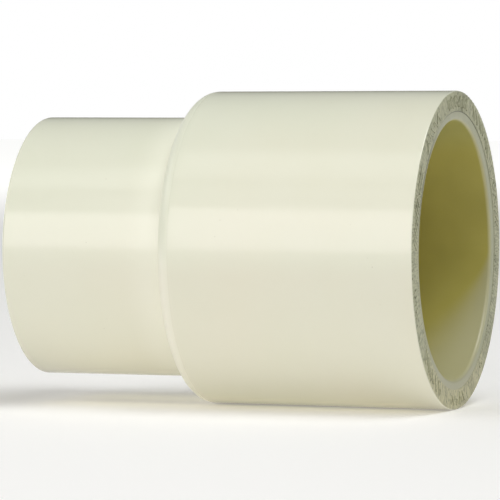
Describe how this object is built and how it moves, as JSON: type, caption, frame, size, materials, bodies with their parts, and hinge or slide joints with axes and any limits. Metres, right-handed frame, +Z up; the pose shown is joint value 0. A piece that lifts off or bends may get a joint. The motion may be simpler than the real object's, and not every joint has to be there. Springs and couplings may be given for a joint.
{
  "type": "concentric reducer",
  "caption": "Cream plastic concentric reducing coupling with a large and a small glue socket on one straight bore axis.",
  "frame": {"origin": "on the bore axis at the bottom of the large socket, where the large pipe's end seats", "axes": "+X along the bore axis out of the large mouth, +Z up with the part lying on its side"},
  "size_m": [0.0591, 0.0432, 0.043],
  "materials": {
    "cream_cpvc": "satin moulded",
    "cream_cpvc_face": "fine etched end face",
    "cream_cpvc_bore": "smooth cored bore"
  },
  "bodies": {
    "root": {"large_hub": "cream_cpvc", "large_lead_in": "cream_cpvc_face", "shoulder_ring": "cream_cpvc", "small_hub": "cream_cpvc", "small_lead_in": "cream_cpvc_face", "large_pipe_stop": "cream_cpvc_bore", "throat": "cream_cpvc_bore", "small_pipe_stop": "cream_cpvc_bore", "mouth_marks": "cream_cpvc_face", "gate_mark": "cream_cpvc"}
  },
  "joints": []
}
